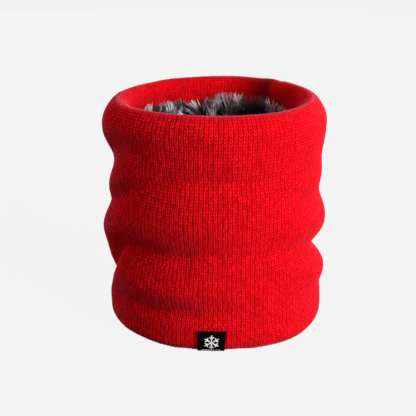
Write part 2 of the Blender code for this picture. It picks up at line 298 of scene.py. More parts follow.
def knit_profile():
    """(offset, height) from the top facing's edge over the rim, down and round the hem."""
    inner = (CREST_OFFSET, HEIGHT - INNER_SHOULDER)
    outer = (CREST_OFFSET, HEIGHT - OUTER_SHOULDER)
    hem = (HEM_RING[0], HEM_OUTER_CORNER)
    hem_inner = (HEM_RING[1], HEM_INNER_CORNER)
    return np.concatenate([
        [(-WALL, TOP_FACING_EDGE)],
        arc(inner, (WALL + CREST_OFFSET, INNER_SHOULDER), 180),
        arc(outer, (-CREST_OFFSET, OUTER_SHOULDER), 90)[1:],
        arc(hem, (-HEM_RING[0], HEM_OUTER_CORNER), 0),
        arc(hem_inner, (WALL + HEM_RING[1], HEM_INNER_CORNER), 270),
        [(-WALL, BOTTOM_FACING_EDGE)],
    ])


def resampled(path, step):
    """A path's points again, evenly spaced about a step apart, with their distance along it."""
    gaps = np.linalg.norm(np.diff(path, axis=0), axis=1)
    along = np.concatenate([[0], np.cumsum(gaps)])
    at = np.linspace(0, along[-1], max(2, round(along[-1] / step) + 1))
    return np.stack([np.interp(at, along, path[:, k]) for k in range(path.shape[1])], 1), at


def grid_normals(points, closed=True):
    """Unit normals of a grid of points, rows down the tube and columns round it."""
    down = np.gradient(points, axis=0)
    if closed:
        across = (np.roll(points, -1, axis=1) - np.roll(points, 1, axis=1)) / 2
    else:
        across = np.gradient(points, axis=1)
    normal = np.cross(down, across)
    return normal / np.linalg.norm(normal, axis=-1, keepdims=True)


# Smooth noise that repeats round the tube.

def noise_grid(seed, rows, columns, cells_down, cells_round):
    """Smooth noise from -1 to 1 on a grid, with so many cells down it and round it."""
    rng = np.random.default_rng(seed)
    values = rng.uniform(-1, 1, (cells_down + 2, cells_round))
    down = np.linspace(0, cells_down, rows)
    turn = np.arange(columns) * cells_round / columns
    i, j = down.astype(int), turn.astype(int)
    t, s = smooth(down - i)[:, None], smooth(turn - j)[None, :]
    i, j, j1 = i[:, None], j[None, :], (j[None, :] + 1) % cells_round
    low = values[i, j] * (1 - s) + values[i, j1] * s
    high = values[i + 1, j] * (1 - s) + values[i + 1, j1] * s
    return low * (1 - t) + high * t


# Making meshes from arrays.

def grid_faces(rows, columns, closed):
    """The quads of a grid of points, which may close round its columns."""
    row = np.arange(rows - 1)[:, None]
    column = np.arange(columns if closed else columns - 1)[None, :]
    after = (column + 1) % columns
    a, b = row * columns + column, row * columns + after
    c, d = (row + 1) * columns + after, (row + 1) * columns + column
    return np.stack([a, d, c, b], axis=-1).reshape(-1, 4)


def make_mesh(name, points, faces):
    """A mesh object of quads or triangles, shaded smooth."""
    faces = np.asarray(faces)
    sides = faces.shape[1]
    mesh = bpy.data.meshes.new(name)
    mesh.vertices.add(len(points))
    mesh.vertices.foreach_set("co", np.ascontiguousarray(points, np.float32).ravel())
    mesh.loops.add(faces.size)
    mesh.loops.foreach_set("vertex_index", faces.astype(np.int32).ravel())
    mesh.polygons.add(len(faces))
    mesh.polygons.foreach_set("loop_start", np.arange(0, faces.size, sides, dtype=np.int32))
    mesh.update(calc_edges=True)
    mesh.shade_smooth()
    obj = bpy.data.objects.new(name, mesh)
    bpy.context.scene.collection.objects.link(obj)
    return obj


def set_value(obj, name, values):
    """Give each point a number that a material can read."""
    attribute = obj.data.attributes.new(name, "FLOAT", "POINT")
    attribute.data.foreach_set("value", np.ascontiguousarray(values, np.float32).ravel())


def set_map(obj, name, face_corners):
    """A UV map from one (u, v) for each corner of each face."""
    layer = obj.data.uv_layers.new(name=name)
    layer.data.foreach_set("uv", np.ascontiguousarray(face_corners, np.float32).ravel())


def grid_map(obj, rows, columns, closed):
    """A map that unrolls a grid over the whole square, so that its looks can be baked."""
    row = np.arange(rows - 1)[:, None]
    column = np.arange(columns if closed else columns - 1)[None, :]
    width = columns if closed else columns - 1
    row, column = np.broadcast_arrays(row, column)
    u, v = column / width, 1 - row / (rows - 1)
    u1, v1 = (column + 1) / width, 1 - (row + 1) / (rows - 1)
    corners = np.stack([u, v, u, v1, u1, v1, u1, v], axis=-1)
    set_map(obj, "OFBake", corners)


def as_piece(obj, look, replaces):
    """Give a mesh its material, attach it to the root and hide the CAD node that it stands for."""
    obj.data.materials.append(look)
    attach(obj, "root")
    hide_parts(replaces)
    return obj


# Materials.

class Look:
    """A node material built a call at a time."""

    def __init__(self, name):
        self.material = bpy.data.materials.new(name)
        self.material.use_nodes = True
        self.tree = self.material.node_tree
        self.shader = self.tree.nodes["Principled BSDF"]

    def node(self, kind, **settings):
        made = self.tree.nodes.new("ShaderNode" + kind)
        for key, value in settings.items():
            setattr(made, key, value)
        return made

    def feed(self, socket, value):
        if isinstance(value, bpy.types.NodeSocket):
            self.tree.links.new(value, socket)
        else:
            socket.default_value = value

    def math(self, operation, a, b=0.0, clamp=False):
        made = self.node("Math", operation=operation, use_clamp=clamp)
        self.feed(made.inputs[0], a)
        self.feed(made.inputs[1], b)
        return made.outputs[0]

    def attribute(self, name):
        return self.node("Attribute", attribute_name=name).outputs["Fac"]

    def position(self, scale):
        """Object coordinates, scaled per axis."""
        place = self.node("TexCoord").outputs["Object"]
        made = self.node("Mapping")
        self.feed(made.inputs["Vector"], place)
        made.inputs["Scale"].default_value = scale
        return made.outputs[0]

    def noise(self, vector, scale, detail=2.0, roughness=0.5):
        made = self.node("TexNoise")
        self.feed(made.inputs["Vector"], vector)
        made.inputs["Scale"].default_value = scale
        made.inputs["Detail"].default_value = detail
        made.inputs["Roughness"].default_value = roughness
        return made.outputs["Fac"]

    def ramp(self, value, stops):
        made = self.node("ValToRGB")
        self.feed(made.inputs[0], value)
        elements = made.color_ramp.elements
        while len(elements) < len(stops):
            elements.new(0.5)
        for element, (place, colour) in zip(elements, stops):
            element.position = place
            element.color = (*colour, 1)
        return made.outputs["Color"]

    def mix(self, share, a, b, blend="MIX"):
        made = self.node("Mix", data_type="RGBA", blend_type=blend)
        self.feed(made.inputs[0], share)
        self.feed(made.inputs[6], a)
        self.feed(made.inputs[7], b)
        return made.outputs[2]

    def bump(self, height, strength, distance):
        made = self.node("Bump")
        self.feed(made.inputs["Height"], height)
        made.inputs["Strength"].default_value = strength
        made.inputs["Distance"].default_value = distance
        self.feed(self.shader.inputs["Normal"], made.outputs[0])

    def set(self, **values):
        for key, value in values.items():
            self.feed(self.shader.inputs[key.replace("_", " ")], value)


def wool_look(name, dark, mid, light, painted_crest_sheen):
    """Acrylic yarn: painted shade down between the stitches, a pink painted sheen highlight on the
    crests of the legs, fine fibres and uneven dye.
    """
    look = Look(name)
    place = look.position((1, 1, 1))
    yarn_shade_and_mottle = look.attribute("yarn")
    # The ramp's darkest stop is painted shade between the stitches; its top stop is a pink painted
    # sheen highlight on the leg crests.
    colour = look.ramp(yarn_shade_and_mottle, [(0.0, dark), (0.40, mid), (0.75, light), (1.0, painted_crest_sheen)])
    uneven = look.noise(place, 60, 3)
    fibres = look.noise(look.position((1, 1, 0.35)), 2600, 3, 0.6)
    share = look.math("MULTIPLY", uneven, 0.5)
    share = look.math("ADD", share, look.math("MULTIPLY", fibres, 0.5))
    tint = look.ramp(share, [(0.3, (0.80, 0.80, 0.80)), (0.7, (1.0, 1.0, 1.0))])
    look.set(Base_Color=look.mix(1.0, colour, tint, "MULTIPLY"))
    roughness = look.math("ADD", look.math("MULTIPLY", fibres, 0.2), 0.75)
    look.set(Roughness=roughness, Sheen_Weight=0.42, Sheen_Roughness=0.35)
    look.set(Sheen_Tint=(0.80, 0.42, 0.66, 1), Specular_IOR_Level=0.02)
    look.bump(fibres, 0.5, 0.15 * MM)
    return look.material


def thread_look(name, dark, light, shine=0.15, sheen=0.05):
    """Spun thread or fine fibres: two shades of one colour in streaks."""
    look = Look(name)
    fibres = look.noise(look.position((1, 1, 1)), 2400, 3)
    look.set(Base_Color=look.ramp(fibres, [(0.3, dark), (0.7, light)]))
    look.set(Roughness=look.math("ADD", look.math("MULTIPLY", fibres, 0.25), 0.45))
    look.set(Sheen_Weight=sheen, Specular_IOR_Level=shine)
    look.bump(fibres, 0.4, 0.08 * MM)
    return look.material


# The knitted tube.

def crease_reach(angle, height):
    """How near, from 0 to 1, each point is to the stretched cloth just below a crease."""
    total = 0.0
    for name in CREASES:
        half_height, _, points = FOLDS[name]
        z, push = fold_line(points, angle)
        below = np.clip((z - height / MM) / half_height + 0.5, 0, None)
        total = total - push / 9 * below * np.exp(1 - below)
    return total


def per_stitch(seed, row, column):
    """A random number from -1 to 1 for each leg of each stitch."""
    course, leg = row // ROWS_PER_COURSE, column // (COLUMNS_PER_WALE // 2)
    values = np.random.default_rng(seed).uniform(-1, 1, (course.max() + 1, leg.max() + 1))
    return values[course, leg]


def open_and_shaded_share(angle, height, outside, stretched):
    """How open the stitches are drawn, from 0 up: near the rim, below creases and on the left. The
    same share sets how much painted shade darkens their gaps, most on the left, the shaded side.
    """
    near_rim = np.exp(-((height - HEIGHT + 6 * MM) / (12 * MM)) ** 2)
    # Painted shade: the left side, away from the key light, gets darker gaps.
    on_left = (0.5 + 0.5 * np.cos(np.radians(angle - LEFT_ANGLE))) ** 3 * outside
    return OPEN_AND_SHADED_NEAR_RIM * near_rim + OPEN_AND_SHADED_BELOW_CREASE * stretched + OPEN_AND_SHADED_ON_LEFT * on_left


def knit_relief(rows, columns, open_and_shaded_gaps):
    """How far each point of the knitting stands out, and how dark its yarn is painted, mostly from
    0 to 1.

    A stitch is two leaning legs, each thinner where the next stitch begins. The more open the cloth
    is drawn, the thinner the legs get there and the deeper the gaps between wales. The painted
    value darkens there and in the gaps as painted shade, more so the more open the cloth, and adds
    a random lightness for each leg.
    """
    row = np.arange(rows)[:, None]
    column = np.arange(columns)[None, :]
    from_middle = np.abs((column % COLUMNS_PER_WALE) / COLUMNS_PER_WALE - 0.5)
    phase = row / ROWS_PER_COURSE + STITCH_LEAN * 2 * from_middle
    swell = 0.5 + 0.5 * np.cos(2 * np.pi * phase)
    thin = 0.7 + 1.4 * open_and_shaded_gaps * (1 - swell)
    leg = np.sin(2 * np.pi * from_middle).clip(0) ** thin
    middle = 0.26 + 0.22 * swell
    gap = 0.42 * swell - (0.10 + 1.6 * open_and_shaded_gaps) * (1 - swell)
    between = np.where(from_middle < 0.25, middle, gap) * (1 - leg)
    uneven = per_stitch(11, row, column) * (0.10 + 0.08 * open_and_shaded_gaps)
    shape = leg * (0.66 + 0.34 * swell) + between + 0.6 * uneven
    # Painted shade: darker where the next stitch begins and in the gaps between wales, plus a
    # random lightness for each leg.
    shade_and_mottle = leg * (1 - (0.54 + 0.3 * open_and_shaded_gaps) * (1 - swell)) + between + uneven
    return shape, shade_and_mottle


def seam_bulge(angle):
    """How far the top facing swells inward on the left of its seam, dropping at the seam itself."""
    across = apart(angle, SEAM_ANGLE)
    left = SEAM_BULGE * (1 - smooth(across / SEAM_BULGE_SPAN))
    right = 0.45 * SEAM_BULGE * (1 - smooth(-across / (0.5 * SEAM_BULGE_SPAN)))
    return np.where(across >= 0, left, right)


def painted_seam_shadow(angle):
    """How much painted shadow darkens the top facing's yarn beside its seam, most on the left."""
    across = apart(angle, SEAM_ANGLE)
    left = 0.94 * np.exp(-((across - 3) / 18) ** 2) * smooth((across + 1.5) / 2)
    right = 0.5 * np.exp(-((across + 6) / 14) ** 2) * smooth((-across - 1) / 2)
    return left + right


class Knit:
    """The grid of the knitted tube, from the top facing's edge over the rim and round the hem."""

    def __init__(self):
        profile, _ = resampled(knit_profile(), COURSE / ROWS_PER_COURSE)
        self.rows, self.columns = len(profile), WALES * COLUMNS_PER_WALE
        self.courses = self.rows // ROWS_PER_COURSE
        self.offset, self.height = profile[:, :1], profile[:, 1:]
        wale = 360 / WALES
        angle = np.arange(self.columns)[None, :] * wale / COLUMNS_PER_WALE - 180
        wander = self.noise(3, 14, 18) * 0.12 * wale
        jitter = self.noise(4, self.courses, WALES) * 0.12 * wale
        outside = smooth((self.offset - CREST_OFFSET) / (6 * MM))
        stretched = crease_reach(angle, self.height) * outside
        drift = -CREASE_DRIFT * stretched * np.sin(np.radians(angle + 90))
        self.base = TUBE.at(angle + wander + jitter + drift, self.offset, self.height,
                            wall_follow(self.offset))
        self.normal = grid_normals(self.base)
        self.seam_column = round((SEAM_ANGLE + 180) / wale) * COLUMNS_PER_WALE
        across = (np.arange(self.columns)[None, :] - self.seam_column) / COLUMNS_PER_WALE
        inside = 1 - smooth((self.offset + WALL) / (9 * MM))
        groove = -0.8 * MM * np.exp(-(across / 0.7) ** 2)
        self.seam = groove + inside * seam_bulge(angle)
        open_and_shaded_gaps = open_and_shaded_share(angle, self.height, outside, stretched)
        self.relief, shade_and_mottle = knit_relief(self.rows, self.columns, open_and_shaded_gaps)
        # Painted shadow: the top facing's yarn is darkened beside its seam, where its hollow lies
        # in shade.
        self.shade_and_mottle = shade_and_mottle * (1 - inside * painted_seam_shadow(angle))

    def noise(self, seed, cells_down, cells_round):
        """Smooth noise from -1 to 1 over the grid."""
        return noise_grid(seed, self.rows, self.columns, cells_down, cells_round)

    def build(self, look):
        """The mesh of the stitches, shaken a little down the tube and in and out."""
        soft = self.noise(5, 16, 24) * 0.35 * MM
        slide = self.noise(6, self.courses, WALES) * 0.22 * MM
        down = np.gradient(self.base, axis=0)
        down /= np.linalg.norm(down, axis=-1, keepdims=True)
        stand = (self.relief - 0.85) * STITCH_DEPTH + soft + self.seam
        points = self.base + self.normal * stand[..., None] + down * slide[..., None]
        points[..., 2] = np.maximum(points[..., 2], 0)
        faces = grid_faces(self.rows, self.columns, True)
        obj = make_mesh("knit_stitches", points.reshape(-1, 3), faces)
        set_value(obj, "yarn", self.shade_and_mottle)
        grid_map(obj, self.rows, self.columns, True)
        return as_piece(obj, look, "knit_tube")

    def seam_path(self):
        """Points along the seam, from the top facing's edge over the rim to the outside's foot."""
        column = self.seam_column % self.columns
        sunk = self.seam[:, [column]] - 0.25 * MM
        points = self.base[:, column] + self.normal[:, column] * sunk
        foot = np.argmax((self.offset[:, 0] > HEM_RING[0]) & (self.height[:, 0] < 6 * MM))
        return points[3:foot]


# Threads.

def thread(name, path, radius, pitch, look, replaces, closed=False):
    """A twisted two-ply thread along a path, as one tube, which may close on itself."""
    path, along = resampled(path, pitch / RINGS_PER_TWIST)
    if closed:
        path, along = path[:-1], along[:-1]
        forward = np.roll(path, -1, axis=0) - np.roll(path, 1, axis=0)
    else:
        forward = np.gradient(path, axis=0)
    forward /= np.linalg.norm(forward, axis=1, keepdims=True)
    outward = path * [1, 1, 0]
    outward = outward / np.linalg.norm(outward, axis=1, keepdims=True)
    side = np.cross(forward, outward)
    side /= np.linalg.norm(side, axis=1, keepdims=True)
    outward = np.cross(side, forward)
    turn = np.radians(np.arange(THREAD_SIDES) * 360 / THREAD_SIDES)[None, :]
    twist = 2 * np.pi * along[:, None] / pitch
    reach = radius * (0.66 + 0.34 * np.abs(np.cos(turn - twist)))
    points = path[:, None] + reach[..., None] * (
        np.cos(turn)[..., None] * outward[:, None] + np.sin(turn)[..., None] * side[:, None]
    )
    if closed:
        points = np.concatenate([points, points[:1]])
    rows = len(points)
    obj = make_mesh(name, points.reshape(-1, 3), grid_faces(rows, THREAD_SIDES, True))
    grid_map(obj, rows, THREAD_SIDES, True)
    return as_piece(obj, look, replaces)


def ring_path(height, offset, zigzag, pitch):
    """An overlocked ring: it goes round the tube and zigzags up and down."""
    mean_radius, points_per_turn = 64 * MM, 6
    turns = round(2 * np.pi * mean_radius / pitch)
    angle = np.linspace(-180, 180, turns * points_per_turn + 1)
    swing = zigzag * np.sin(np.radians(angle * turns))
    return TUBE.at(angle, offset, height + swing, LINING_FOLLOWS_FOLDS)


# The lining.

def lining_angle_grid(columns):
    """The angles of a lining grid's columns."""
    return np.arange(columns)[None, :] * 360 / columns - 180


def lining_backing(look):
    """The backing cloth, with the fine up and down of its own loops."""
    rows, columns = 140, 360
    height = np.linspace(TOP_FACING_EDGE, BACKING_BOTTOM + 0.2 * MM, rows)[:, None]
    up_down = np.cos(np.pi * np.arange(rows))[:, None]
    loops = 0.12 * MM * up_down * np.cos(np.pi * np.arange(columns))[None, :]
    offset = BACKING_OFFSET + BACKING_THICKNESS / 2 + loops
    points = TUBE.at(lining_angle_grid(columns), offset, height, LINING_FOLLOWS_FOLDS)
    obj = make_mesh("lining_cloth", points.reshape(-1, 3), grid_faces(rows, columns, True))
    grid_map(obj, rows, columns, True)
    return as_piece(obj, look, "lining_backing")


def pile_ground(look):
    """The short dense fibres at the root of the pile, as one rough dark layer."""
    rows, columns = 120, 420
    height = np.linspace(TOP_FACING_EDGE - 0.3 * MM, PILE_BOTTOM + 0.5 * MM, rows)[:, None]
    lumps = noise_grid(21, rows, columns, 30, 90) * 0.8 * MM
    lumps = lumps + noise_grid(22, rows, columns, 60, 200) * 0.6 * MM
    edge = smooth(np.minimum(np.arange(rows), np.arange(rows)[::-1])[:, None] / 6)
    offset = PILE_ROOT_OFFSET - edge * (2.2 * MM + lumps)
    points = TUBE.at(lining_angle_grid(columns), offset, height, LINING_FOLLOWS_FOLDS)
    obj = make_mesh("pile_ground", points.reshape(-1, 3), grid_faces(rows, columns, True))
    grid_map(obj, rows, columns, True)
    return as_piece(obj, look, "lining_pile")


def lining_frame(angle, height):
    """Root points of the pile there, with unit vectors round the tube, up it and into it."""
    def at(a, z):
        return TUBE.at(a, PILE_ROOT_OFFSET, z, LINING_FOLLOWS_FOLDS)
    place = at(angle, height)
    round_way = at(angle + 0.5, height) - at(angle - 0.5, height)
    up_way = at(angle, height + 1 * MM) - at(angle, height - 1 * MM)
    round_way /= np.linalg.norm(round_way, axis=1, keepdims=True)
    up_way /= np.linalg.norm(up_way, axis=1, keepdims=True)
    inward = np.cross(up_way, round_way)
    inward /= np.linalg.norm(inward, axis=1, keepdims=True)
    outward = place * [1, 1, 0]
    inward = inward * -np.sign((inward * outward).sum(1))[:, None]
    return place, round_way, up_way, inward


def scattered(rng, low, high, spacing):
    """Angles and heights of pile roots, on a shaken grid of this spacing."""
    round_count = round(2 * np.pi * PILE_RADIUS / spacing)
    up_count = round((high - low) / spacing)
    angle, height = np.meshgrid(np.arange(round_count) + 0.0, np.arange(up_count) + 0.5)
    angle = (angle + rng.uniform(-0.6, 0.6, angle.shape)) * 360 / round_count - 180
    height = low + (height + rng.uniform(-0.5, 0.5, height.shape)) * (high - low) / up_count
    return angle.ravel(), height.ravel()


def brushed_angle(angle, height):
    """The way the pile is brushed, in degrees up from the way round the tube."""
    a, z = np.radians(angle), height / MM
    swirl = 55 * np.sin(5 * a + z / 13) + 40 * np.sin(9 * a - z / 9 + 1)
    swirl = swirl + 25 * np.cos(14 * a + z / 6)
    return 115 + swirl


class Pile:
    """The long strands of the lining. Each array has one entry for each strand.

    They lie in clumps, brushed in swirls, and stand up along their crest, just under the edge of
    the top facing, where the opening shows them.
    """

    def __init__(self):
        self.rng = np.random.default_rng(7)
        self.top = TOP_FACING_EDGE - 1 * MM
        self.angle, self.height = self.roots()
        self.count = len(self.angle)
        place, self.round_way, self.up_way, self.inward = lining_frame(self.angle, self.height)
        upper = smooth((self.height - self.top + PILE_SEEN_DEPTH) / (20 * MM))
        self.place = place + self.inward * (seam_bulge(self.angle) * upper)[:, None]
        self.clump = self.clump_numbers()
        self.clumps = self.clump.max() + 1
        self.clump_turn = self.rng.normal(0, 16, self.clumps)[self.clump]
        self.clump_length = self.rng.uniform(0.8, 1.15, self.clumps)[self.clump]
        self.clump_bright = self.rng.uniform(0, 1, self.clumps)[self.clump]
        below_crest = self.top - PILE_CREST_DEPTH - 1 * MM
        self.crest = smooth((self.height - below_crest) / PILE_CREST_DEPTH)
        self.back = np.exp(-(apart(self.angle, BACK_ANGLE) / 34) ** 4)
        self.shadow_patch = np.exp(-((self.angle - SHADOW_PATCH_ANGLE) / 9) ** 4)

    def roots(self):
        """Angles and heights of the roots, which are closer together where they are seen."""
        seen, middle = self.top - PILE_SEEN_DEPTH, self.top - 60 * MM
        crest = self.top - PILE_CREST_DEPTH
        bands = [
            scattered(self.rng, PILE_BOTTOM + 2 * MM, middle, 1.9 * MM),
            scattered(self.rng, middle, seen, 1.35 * MM),
            scattered(self.rng, seen, self.top, 1.0 * MM),
            scattered(self.rng, crest, self.top + 0.5 * MM, 0.7 * MM),
        ]
        return (np.concatenate(parts) for parts in zip(*bands))

    def clump_numbers(self):
        """Which clump each strand is in: strands that root near one another share one."""
        row = np.floor(self.height / CLUMP_HEIGHT).astype(int)
        column = np.floor((self.angle + 180) / CLUMP_ANGLE + 0.5 * (row % 2)).astype(int)
        _, clump = np.unique(row * 1000 + column, return_inverse=True)
        return clump

    def lay(self):
        """The unit way in which each strand lies: as brushed low down, standing at the crest."""
        low = brushed_angle(self.angle, self.height) + self.clump_turn
        low = np.radians(low + self.rng.normal(0, 9, self.count))
        a = np.radians(self.angle)
        fan = 42 * np.sin(7 * a + 0.6) + 26 * np.sin(17 * a + 2.0)
        strays = 0.5 * np.degrees(self.rng.normal(0, 0.30, self.count))
        upward = np.radians(96 + fan + strays + 0.8 * self.clump_turn)
        turn = low * (1 - self.crest) + upward * self.crest
        return np.cos(turn)[:, None] * -self.round_way + np.sin(turn)[:, None] * self.up_way

    def lengths(self):
        """How long each strand is: at the crest, long enough for a ragged edge of set heights."""
        length = self.rng.uniform(*PILE_LENGTHS, self.count) * self.clump_length
        a = np.radians(self.angle)
        ragged = 0.5 + 0.5 * np.sin(a * 23) * np.sin(a * 9 + 2)
        left_end = np.exp(-((self.angle - LEFT_END_ANGLE) / 20) ** 2)
        reach = 12 + 8.5 * self.back + 2.5 * ragged + 4.0 * self.shadow_patch + 4.0 * left_end
        reach = reach * MM * self.rng.uniform(0.68, 1.12, self.count)
        standing = np.maximum(reach + (self.top - self.height), 5 * MM)
        return length * (1 - self.crest) + standing * self.crest

    def paths(self):
        """Four points along each strand, which leaves the cloth and bends over into its lay."""
        along, length = self.lay(), self.lengths()
        lift = self.rng.uniform(0.35, 0.6, self.count)
        bend = np.array([0, 0.34, 0.68, 1.0])[None, :, None]
        out = self.inward[:, None] * (lift * length)[:, None, None] * (1 - (1 - bend) ** 2)
        over = along[:, None] * length[:, None, None] * (0.25 * bend + 0.68 * bend ** 2)
        sag = np.array([0, 0, 1.0])[None, None, :] * -0.10 * length[:, None, None] * bend ** 2
        path = self.place[:, None] + out + over + sag
        return path + self.drawn_together(path[:, -1]) * bend ** 1.5

    def drawn_together(self, tips):
        """How far each tip is drawn toward the middle of its clump's tips."""
        middle = np.zeros((self.clumps, 3))
        np.add.at(middle, self.clump, tips)
        middle = middle / np.bincount(self.clump, minlength=self.clumps)[:, None]
        share = (1 - 0.4 * self.crest)[:, None, None]
        return (middle[self.clump] - tips)[:, None] * 0.6 * share

    def shades(self):
        """How silver each strand is, from 0 to 1: mostly its own chance, partly its clump's.

        Painted shadow darkens the strands beside the seam, painted light brightens those at the
        back, and they are a little darker at the far left.
        """
        far_left = smooth((self.angle - 100) / 30)
        chance = 0.36 * self.clump_bright + 0.64 * self.rng.uniform(0, 1, self.count)
        # Painted shadow beside the seam and painted light at the back.
        shade = chance - 0.9 * self.shadow_patch + 0.07 * self.back - 0.04 * far_left
        return np.clip(shade, 0.01, 0.99)

    def build(self, look):
        """The mesh: each strand is a flat ribbon of seven points, with one of them at its tip."""
        path = self.paths()
        away = self.inward[:, None] + 0.6 * self.rng.normal(0, 1, (self.count, 1, 3))
        side = np.cross(np.gradient(path, axis=1), away)
        side /= np.linalg.norm(side, axis=-1, keepdims=True)
        shade = self.shades()
        lock = smooth((shade - 0.58) / 0.2)
        width = (self.rng.uniform(0.35, 0.60, self.count) + 0.5 * lock)[:, None] * MM
        taper = np.array([0.9, 1.0, 0.75])[None, :]
        half = side[:, :3] * (width * taper / 2)[..., None]
        points = np.concatenate([path[:, :3] - half, path[:, :3] + half, path[:, 3:]], axis=1)
        pattern = np.array([[0, 1, 3], [1, 4, 3], [1, 2, 4], [2, 5, 4], [2, 6, 5]])
        faces = (np.arange(self.count)[:, None, None] * 7 + pattern).reshape(-1, 3)
        obj = make_mesh("pile_strands", points.reshape(-1, 3), faces)
        v = np.array([0.02, 0.34, 0.68, 0.02, 0.34, 0.68, 0.98])
        spots = np.stack(np.broadcast_arrays(shade[:, None], v[None, :]), axis=-1)
        set_map(obj, "OFBake", spots.reshape(-1, 2)[faces])
        return as_piece(obj, look, "lining_pile")


def pile_look():
    """Dark roots, grey middles and, on some strands, silver tips.

    The map's u is how silver the strand is, with painted shadow and painted light in it, and its v
    runs along it.
    """
    look = Look("lining_pile")
    spot = look.node("UVMap", uv_map="OFBake").outputs[0]
    parts = look.node("SeparateXYZ")
    look.feed(parts.inputs[0], spot)
    strand, along = parts.outputs[0], parts.outputs[1]
    dark = look.ramp(along, [(0.0, (0.004, 0.003, 0.004)), (0.5, (0.014, 0.012, 0.014)),
                             (1.0, (0.045, 0.040, 0.046))])
    silver = look.ramp(along, [(0.0, (0.008, 0.007, 0.008)), (0.35, (0.16, 0.15, 0.16)),
                               (0.65, (0.90, 0.87, 0.91)), (1.0, (0.98, 0.97, 0.99))])
    share = look.math("SUBTRACT", strand, 0.55)
    share = look.math("MULTIPLY", share, 7.0, clamp=True)
    look.set(Base_Color=look.mix(share, dark, silver), Roughness=0.42, Specular_IOR_Level=0.5)
    look.set(Sheen_Weight=0.1)
    return look.material


# The label.

def label_profile():
    """(offset, height) of the fabric under the label, from its outside top to its inside top."""
    hem = (HEM_RING[0], HEM_OUTER_CORNER)
    hem_inner = (HEM_RING[1], HEM_INNER_CORNER)
    return np.concatenate([
        [(0, LABEL_HIGH.z)],
        arc(hem, (-HEM_RING[0], HEM_OUTER_CORNER), 0),
        arc(hem_inner, (WALL + HEM_RING[1], HEM_INNER_CORNER), 270),
        [(-WALL, LABEL_INSIDE_TOP)],
    ])


